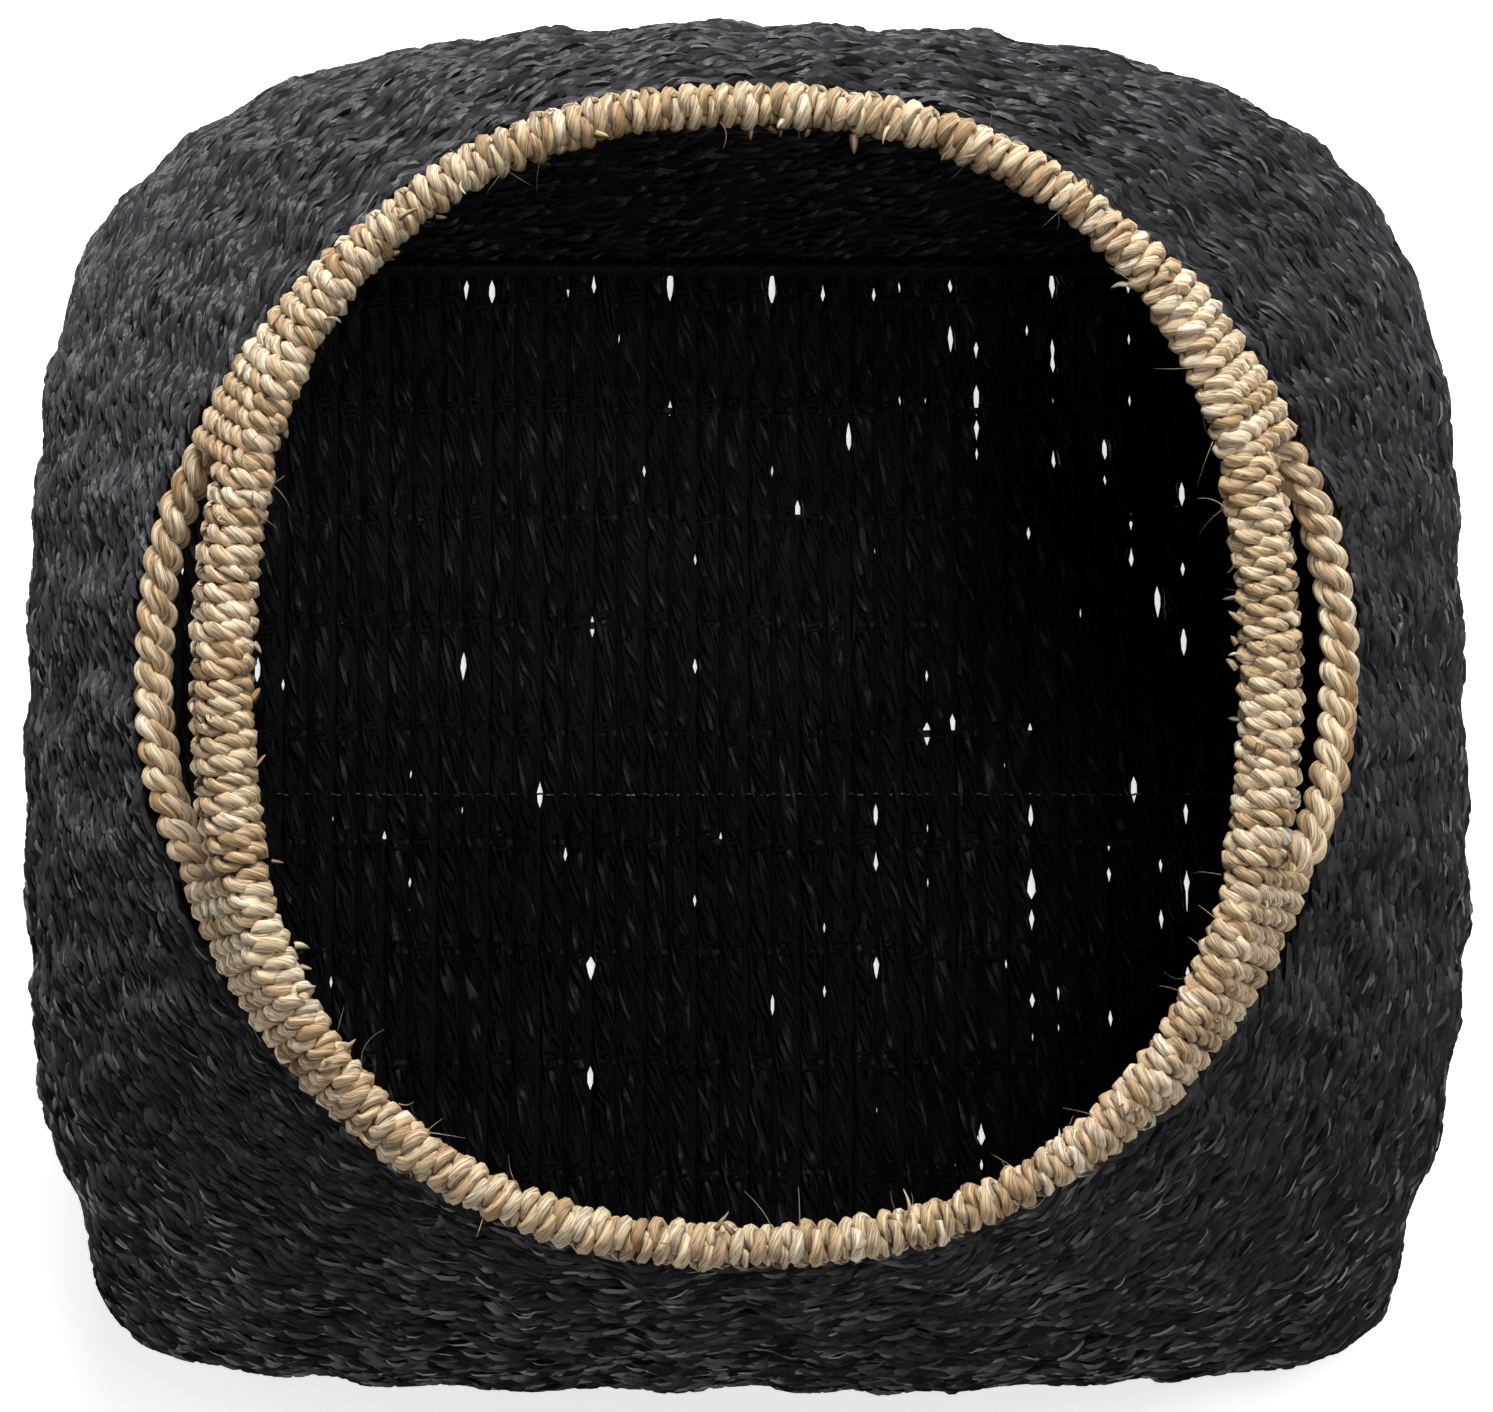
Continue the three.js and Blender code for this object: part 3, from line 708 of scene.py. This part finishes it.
def tube(path, radius, sides, hint=(0, 0, 1)):
    # a round tube on a path, as steps x sides x 3, whose faces point outwards
    path = np.asarray(path, float)
    tangent = unit(np.gradient(path, axis=0))
    first = unit(np.cross(tangent, np.broadcast_to(np.asarray(hint, float), path.shape)))
    second = np.cross(tangent, first)
    turn = np.arange(sides) / sides * 2 * math.pi
    radius = np.broadcast_to(np.asarray(radius, float), len(path))[:, None, None]
    return (path[:, None] + radius * (first[:, None] * np.cos(turn)[None, :, None]
                                      - second[:, None] * np.sin(turn)[None, :, None]))


# the wire shows only where it crosses a seam between two columns
wireX = np.linspace(-baseHalfX + 10 * mm, baseHalfX - 10 * mm, 900)
seamX = columnX[:-1] + base["columnPitch"] / 2
seamAway = wireX[:, None] - seamX - rng.normal(0, 0.4, len(seamX)) * mm
showing = np.exp(-(seamAway / rng.uniform(0.5 * mm, 1.2 * mm, len(seamX))) ** 4).max(1)
wirePath = np.stack([wireX, np.full(900, middleOf("base_cross_wire", 1)), 6.2 * mm + 3.1 * mm * showing], -1)
joinGrids("base_cross_wire_show", [tube(wirePath, 0.35 * mm, 8, (0, 1, 0))], drawnWire,
          ("base_cross_wire",))

stakeTie = {"strips": 4, "share": 0.6, "length": (4 * mm, 7 * mm), "width": 1.5 * mm, "spacing": 1.7 * mm}


def stakeBinding():
    # short strips that lie across a column where it passes over a cross stake
    each = np.arange(stakeTie["strips"])
    grid = np.meshgrid(np.arange(columnCount), np.arange(crossCount), each, indexing="ij")
    column, cross, part = [g.ravel() for g in grid]
    chosen = rng.random(len(column)) < stakeTie["share"]
    column, cross, part = column[chosen], cross[chosen], part[chosen]
    count = len(column)
    x = columnX[column] + rng.normal(0, 0.5, count) * mm
    y = crossY[cross] + (part - each.mean()) * stakeTie["spacing"] + rng.normal(0, 0.3, count) * mm
    length = rng.uniform(*stakeTie["length"], count)

    def place(along, across, lift):
        px = x[:, None] + along * length[:, None]
        py = y[:, None] + across * stakeTie["width"] + 0.8 * mm * along
        z = base["topZ"] + 2.5 * mm + lift * 1.4 * mm - 2.4 * mm * (2 * along) ** 2
        return np.stack([px, py, z + 0 * px], -1)

    return layStrips("base_stake_binding", place, count, dyedLeaf)


stakeBinding()

ringLeaf = {
    "strips": 1300,
    "length": (7 * mm, 13 * mm),
    "width": (1.6 * mm, 2.8 * mm),
    "slant": 0.25,
    "slantSpread": 0.15,
}


def ringWrap():
    # leaf bound over the ring wire where the base meets the wall
    count = ringLeaf["strips"]
    angle = rng.uniform(0, 2 * math.pi, count)
    length = rng.uniform(*ringLeaf["length"], count)
    width = rng.uniform(*ringLeaf["width"], count)
    slant = rng.normal(ringLeaf["slant"], ringLeaf["slantSpread"], count)
    middle = np.array([0, baseCentreY, 0])
    shrink = np.array([halfSize("base_ring_wire", 0) / baseHalfX,
                       halfSize("base_ring_wire", 1) / baseHalfY, 1])
    ringTop = middleOf("base_ring_wire", 2) + halfSize("base_ring_wire", 2)
    perRadian = wallFrame(angle, np.full(count, baseZ + mm))[3]

    def place(along, across, lift):
        run = along * (length * np.cos(slant))[:, None] - across * (width * np.sin(slant))[:, None]
        aside = along * (length * np.sin(slant))[:, None] + across * (width * np.cos(slant))[:, None]
        turned = angle[:, None] + run / perRadian[:, None]
        outline = middle + (wallPoint(turned, np.full(turned.shape, baseZ)) - middle) * shrink
        inward = unit((middle - outline) * np.array([1, 1, 0]))
        points = outline + inward * (aside + 1.2 * mm)[..., None]
        drop = np.abs(aside) * 0.5 + 1.5 * mm * (2 * along) ** 4
        points[..., 2] = ringTop + 0.4 * mm + lift * 1.2 * mm - drop
        return points

    return layStrips("base_ring_binding", place, count, dyedLeaf)


ringWrap()
print("base twined:", columnCount, "columns")

# rim: undyed two-ply cord wrapped turn by turn over the hoop
rimCord = {
    "pitch": 4.9 * mm,          # along the rim, for one turn
    "radius": 3.1 * mm,
    "plyRadius": 1.9 * mm,
    "spread": 1.42 * mm,        # from the cord's middle to a ply's
    "plyTwist": 11.5 * mm,      # length of cord in one full twist
    "rollTwist": 16 * mm,       # slacker over the thin front and back
    "sides": 10,
    "step": 1.7 * mm,
    "lean": 0.9,                # how far a turn leans along the rim, in pitches
}


def rimFrame(angle):
    # outward, along the rim and up the wall, just under the hoop
    return wallFrame(angle, np.full_like(angle, rimZ - 4 * mm))[:3]


def hoopPoint(angle):
    return wallPoint(angle, np.full_like(angle, rimZ))


def wrapLoop(section):
    # one turn of the cord: a rounded loop round the hoop, leaning along the rim
    thick, up, down = section
    radius = rimCord["radius"]
    t, u, d = thick - radius, up - radius, down - radius
    corner = min(t, u + d) * 0.95
    straight = max(u + d - 2 * corner, 0)
    perimeter = 2 * math.pi * corner + 2 * straight + 4 * (t - corner)
    steps = max(14, int(perimeter / rimCord["step"]))
    s = np.arange(steps) / steps
    phi = 2 * math.pi * s
    # a super-ellipse round the section, with its middle between up and down
    power = 2.0 + 1.2 * min(1, straight / (10 * mm))
    c, q = np.cos(phi), np.sin(phi)
    reach = (np.abs(c) ** power + np.abs(q) ** power) ** (-1 / power)
    offOut, offUp = t * c * reach, (u - d) / 2 + (u + d) / 2 * q * reach
    return offOut, offUp, steps


def plyLines(path, hint, spread, twist, phase=0.0, closed=False, plies=2):
    # the middle lines of the plies twisted round a path, with their outward directions
    path = np.asarray(path, float)
    length = runningLength(path)
    if closed:
        tangent = unit(np.roll(path, -1, 0) - np.roll(path, 1, 0))
        total = length[-1] + np.linalg.norm(path[0] - path[-1])
        halfTurns = np.sign(twist) * max(1, round(2 * total / abs(twist)))
        spin = math.pi * halfTurns * length / total
    else:
        tangent = unit(np.gradient(path, axis=0))
        spin = 2 * math.pi * length / twist
    first = unit(np.cross(tangent, np.broadcast_to(np.asarray(hint, float), path.shape)))
    second = np.cross(tangent, first)
    lines = []
    for ply in range(plies):
        a = (spin + phase + ply * 2 * math.pi / plies)[:, None]
        out = first * np.cos(a) + second * np.sin(a)
        lines.append((path + spread * out, out))
    return lines


def flutedTube(middle, out, radius, sides=12, depth=0.16, own=0.0, closed=False):
    # a ply of folded leaves, square to its own line: its section has three lobes with creases between
    turn = np.arange(sides) / sides * 2 * math.pi
    if closed:
        tangent = unit(np.roll(middle, -1, 0) - np.roll(middle, 1, 0))
    else:
        tangent = unit(np.gradient(middle, axis=0))
    side = unit(np.cross(tangent, out))
    out = np.cross(side, tangent)
    along = np.arange(len(middle))[:, None] * own
    lobes = 1 - depth * (1 - np.abs(np.sin(1.5 * (turn[None, :] + along))))
    radius = np.broadcast_to(np.asarray(radius, float), len(middle))[:, None] * lobes
    return middle[:, None] + radius[..., None] * (out[:, None] * np.cos(turn)[None, :, None]
                                                  - side[:, None] * np.sin(turn)[None, :, None])


def wrapPiece(name, fromAngle, toAngle, sectionAt, twist, replaced):
    # all the turns between two angles
    angles = np.linspace(fromAngle, toAngle, 400)
    points = hoopPoint(angles)
    length = runningLength(points)
    turns = max(2, int(round(length[-1] / rimCord["pitch"])))
    centres = np.interp((np.arange(turns) + 0.5) / turns * length[-1], length, angles)
    perRadian = length[-1] / abs(toAngle - fromAngle)
    grids = []
    for number, angle in enumerate(centres):
        thick, up, down = sectionAt(angle)
        jitter = rng.uniform(-0.35, 0.35, 3) * mm
        offOut, offUp, steps = wrapLoop((thick + jitter[0], up + jitter[1], down + jitter[2]))
        lean = rimCord["lean"] * rimCord["pitch"] * (offOut / max(thick, 1e-6)) * 0.5
        pointAngle = angle + (lean + rng.normal(0, 0.25) * mm) / perRadian
        outward, around, upward = rimFrame(pointAngle)
        path = hoopPoint(pointAngle) + outward * offOut[:, None] + upward * offUp[:, None]
        swell = 1 + 0.1 * rng.normal()
        for middle, out in plyLines(path, around, rimCord["spread"], twist, rng.uniform(0, 6.28), True):
            wave = np.arange(steps) / steps * 2 * math.pi * rng.integers(1, 5)
            uneven = 0.1 * np.sin(wave + rng.uniform(0, 6))
            radius = rimCord["plyRadius"] * np.clip(swell + uneven, 0.78, 1.22)
            grids.append(flutedTube(middle, out, radius, rimCord["sides"], 0.27, 0.12, True))
    return loopPiece(name, grids, naturalLeaf, replaced)


def loopPiece(name, grids, material, replaced):
    # closed loops as one piece
    vertices, faces, uv, start = [], [], [], 0
    for number, grid in enumerate(grids):
        steps, sides = grid.shape[:2]
        quads, stepAt, sideAt = gridFaces(steps, sides, True, True)
        length = runningLength(grid.mean(1))
        length = np.append(length, length[-1] + 2 * mm)
        loopUv = strandUv(length, stepAt, sideAt, sides, number) + np.array([rng.random(), 0])
        faces.append(quads + start)
        uv.append(loopUv.reshape(-1, 2))
        vertices.append(grid.reshape(-1, 3))
        start += steps * sides
    return showMesh(name, np.concatenate(vertices), np.concatenate(faces), np.concatenate(uv), material,
                    replaced)


def sectionOf(angle):
    thick, up, down = wrapSection(np.array([angle]))
    return float(thick[0]), float(up[0]), float(down[0])


def gripSection(angle):
    return rim["grip"]


slotEnd, backEnd, frontEnd = rim["slotEnd"], rim["backTaperEnd"], rim["frontTaperEnd"]
wrapZones = [
    ("handle_wrap_right", -slotEnd, slotEnd, gripSection, "handle_grip_right"),
    ("corner_wrap_back_right_show", slotEnd, backEnd, sectionOf, "corner_wrap_back_right"),
    ("rim_wrap_back_show", backEnd, 180 - backEnd, sectionOf, "rim_wrap_back"),
    ("corner_wrap_back_left_show", 180 - backEnd, 180 - slotEnd, sectionOf, "corner_wrap_back_left"),
    ("handle_wrap_left", 180 - slotEnd, 180 + slotEnd, gripSection, "handle_grip_left"),
    ("corner_wrap_front_left_show", 180 + slotEnd, 180 + frontEnd, sectionOf, "corner_wrap_front_left"),
    ("rim_wrap_front_show", 180 + frontEnd, 360 - frontEnd, sectionOf, "rim_wrap_front"),
    ("corner_wrap_front_right_show", 360 - frontEnd, 360 - slotEnd, sectionOf, "corner_wrap_front_right"),
]
for name, low, high, sectionAt, node in wrapZones:
    twist = rimCord["rollTwist"] if name.startswith("rim_wrap") else rimCord["plyTwist"]
    wrapPiece(name, math.radians(low), math.radians(high), sectionAt, twist, (node,))


def rimCore():
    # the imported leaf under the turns, so nothing shows between them
    angles = np.arange(240) / 240 * 2 * math.pi
    outward, around, upward = rimFrame(angles)
    onGrip = (sideDegrees(angles) < slotEnd)[:, None]
    section = np.where(onGrip, np.array(rim["grip"]), np.stack(wrapSection(angles), -1)) - rim["coreInset"]
    phi = np.arange(12) / 12 * 2 * math.pi
    off = section[:, :1] * np.cos(phi)
    lift = (section[:, 1:2] - section[:, 2:3]) / 2 + (section[:, 1:2] + section[:, 2:3]) / 2 * np.sin(phi)
    grid = hoopPoint(angles)[:, None] + outward[:, None] * off[..., None] + upward[:, None] * lift[..., None]
    # its dark brown colour is painted shade in the gaps between the turns
    return closedGrid("rim_core", grid, shadedLeaf)


rimCore()

# loose fibres on the rim: fine hairs, and short flat ends of leaf
loose = {
    "hairs": 70,
    "length": (4 * mm, 13 * mm),
    "radius": (0.09 * mm, 0.2 * mm),
    "ends": 60,
    "endLength": (3 * mm, 7 * mm),
    "endWidth": (0.5 * mm, 1.3 * mm),
}


def looseFibres():
    grids = []
    for number in range(loose["hairs"] + loose["ends"]):
        angle = np.array([rng.uniform(0, 2 * math.pi)])
        outward, around, upward = rimFrame(angle)
        grip = sideDegrees(angle)[0] < slotEnd
        thick, up, down = rim["grip"] if grip else sectionOf(float(angle[0]))
        turn = rng.uniform(-0.5, 3.6)
        root = hoopPoint(angle) + outward * (thick - 0.8 * mm) * math.cos(turn)
        root = root + upward * up * max(math.sin(turn), 0)
        away = unit(outward * math.cos(turn) + upward * abs(math.sin(turn)) + around * rng.normal(0, 1.2))
        swing = unit(np.cross(away, around + outward * rng.normal(0, 0.6)))
        hair = number < loose["hairs"]
        length = rng.uniform(*loose["length" if hair else "endLength"])
        t = np.linspace(0, 1, 7)[:, None]
        curl = rng.uniform(0.2, 0.9) * length
        path = root + away * length * t * (1 - 0.3 * t) + swing * curl * t ** 2
        if hair:
            grids.append(tube(path, rng.uniform(*loose["radius"]) * (1 - 0.75 * t[:, 0]), 4, swing[0]))
        else:
            sliver = tube(path, rng.uniform(*loose["endWidth"]) * (1 - 0.85 * t[:, 0] ** 2), 4, swing[0])
            centre = sliver.mean(1, keepdims=True)
            flat = sliver - centre
            grids.append(centre + flat - 0.75 * swing * (flat @ swing[0])[..., None])
    return joinGrids("rim_loose_fibres", grids, naturalLeaf)


looseFibres()
print("rim wrapped")

# the thick two-ply cord that edges the wall below each slot
slotCord = {
    "spread": 2.55 * mm,        # from the cord's middle to a ply's
    "twist": -14.5 * mm,
    "leafRadius": 1.7 * mm,
    "leafSpread": 1.35 * mm,    # from a ply's middle to a leaf's
    "leafTwist": 26 * mm,
    "reach": 25.5,              # degrees either side of the slot's middle
}


def slotCordPiece(name, middleDegrees, node):
    degrees = np.linspace(-slotCord["reach"], slotCord["reach"], 260)
    angle = np.radians(middleDegrees + degrees)
    z = rim["cordLow"] + rim["cordRise"] * np.minimum(np.abs(degrees) / slotEnd, 1.25) ** 2
    path = wallPoint(angle, z)
    path = path - wallFrame(angle, z)[0] * (np.clip(np.abs(degrees) - 20, 0, 9)[:, None] * 0.5 * mm)
    grids = []
    for ply, out in plyLines(path, (0, 0, 1), slotCord["spread"], slotCord["twist"]):
        for leafLine, leafOut in plyLines(ply, (0, 0, 1), slotCord["leafSpread"], slotCord["leafTwist"],
                                          rng.uniform(0, 6), plies=3):
            length = np.linspace(0, 1, len(ply))
            wave = length * rng.uniform(60, 120)
            radius = slotCord["leafRadius"] * (1 + 0.16 * np.sin(wave + rng.uniform(0, 6)))
            grids.append(flutedTube(leafLine, leafOut, radius, 10, 0.2, 0.05))
    return joinGrids(name, grids, naturalLeaf, (node,))


slotCordPiece("slot_cord_right_show", 0, "slot_cord_right")
slotCordPiece("slot_cord_left_show", 180, "slot_cord_left")

# CAD nodes that stay inside the weave
replaced = {"base_cross_wire", "wall_weave_right", "wall_weave_back", "wall_weave_left", "wall_weave_front",
            "wall_weave_inner", "base_weave_top", "base_weave_under",
            "slot_cord_right", "slot_cord_left"} | {zone[4] for zone in wrapZones}
for nodeName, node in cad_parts.items():
    if nodeName not in replaced:
        # the ring wire takes the near-black core colour, painted shade under the weave
        skin = {"base_ring_wire": dyedCoreAndShade, "rim_hoop": naturalLeaf}.get(nodeName, caneSkin)
        node.data.materials.clear()
        node.data.materials.append(skin)
print("cords twisted")

# floor, light and camera
view = {"distance": 1.5, "elevation": 81.4, "lens": 125.9, "aim": (0, -1.45 * mm, 165 * mm)}


def placeLight(data, place, direction):
    light = bpy.data.objects.new(data.name, data)
    light.location = place
    light.rotation_euler = Vector(direction).to_track_quat("-Z", "Y").to_euler()
    bpy.context.collection.objects.link(light)


def addLight(name, place, size, power):
    # a soft round light that faces the basket's middle
    data = bpy.data.lights.new(name, "AREA")
    data.shape, data.size, data.energy = "DISK", size, power
    placeLight(data, place, np.array([0, 0, 0.15]) - np.array(place))


bpy.ops.object.select_all(action="DESELECT")
bpy.ops.mesh.primitive_plane_add(size=6)
floor = bpy.context.object
floor.name = "studio_floor"
floorMaterial, tree = newMaterial("white_paper_sweep")      # matte paper, lit evenly so it reads as white
paper = {"Base Color": (0.9, 0.9, 0.9, 1), "Roughness": 0.9, "Emission Color": (1, 1, 1, 1),
         "Emission Strength": 0.75}
shader = addNode(tree, "ShaderNodeBsdfPrincipled", paper)
addNode(tree, "ShaderNodeOutputMaterial", links={"Surface": shader.outputs[0]})
floor.data.materials.append(floorMaterial)

addLight("key_back", (0.1, 1.7, 1.4), 0.9, 62)
addLight("side_left", (-1.7, 0.25, 1.2), 0.9, 3.5)
addLight("side_right", (1.7, 0.35, 1.2), 0.9, 4)
addLight("fill_front", (0.1, -1.6, 1.2), 0.9, 0.2)
addLight("into_mouth", (0.35, 0.1, 2.0), 0.5, 9)
# a narrow spot through the mouth onto the inside of the back wall
spot = bpy.data.lights.new("to_back_inside", "SPOT")
spot.energy, spot.spot_size, spot.spot_blend = 20, math.radians(12.5), 0.5
spot.shadow_soft_size = 0.12
placeLight(spot, (0.3, -0.8, 1.75), (-0.3, 0.88, -1.58))

world = bpy.data.worlds.new("studio")
bpy.context.scene.world = world
world.use_nodes = True
background = world.node_tree.nodes["Background"]
background.inputs["Color"].default_value = (1, 1, 1, 1)
background.inputs["Strength"].default_value = 0.07
bpy.context.scene.view_settings.view_transform = "Standard"

cameraData = bpy.data.cameras.new("camera_above")
camera = bpy.data.objects.new("camera_above", cameraData)
bpy.context.collection.objects.link(camera)
tilt = math.radians(view["elevation"])
camera.location = (view["aim"][0], view["aim"][1] - view["distance"] * math.cos(tilt),
                   view["aim"][2] + view["distance"] * math.sin(tilt))
camera.rotation_euler = (math.pi / 2 - tilt, 0, 0)
cameraData.lens, cameraData.sensor_width = view["lens"], 36
bpy.context.scene.camera = camera

print("stage set")
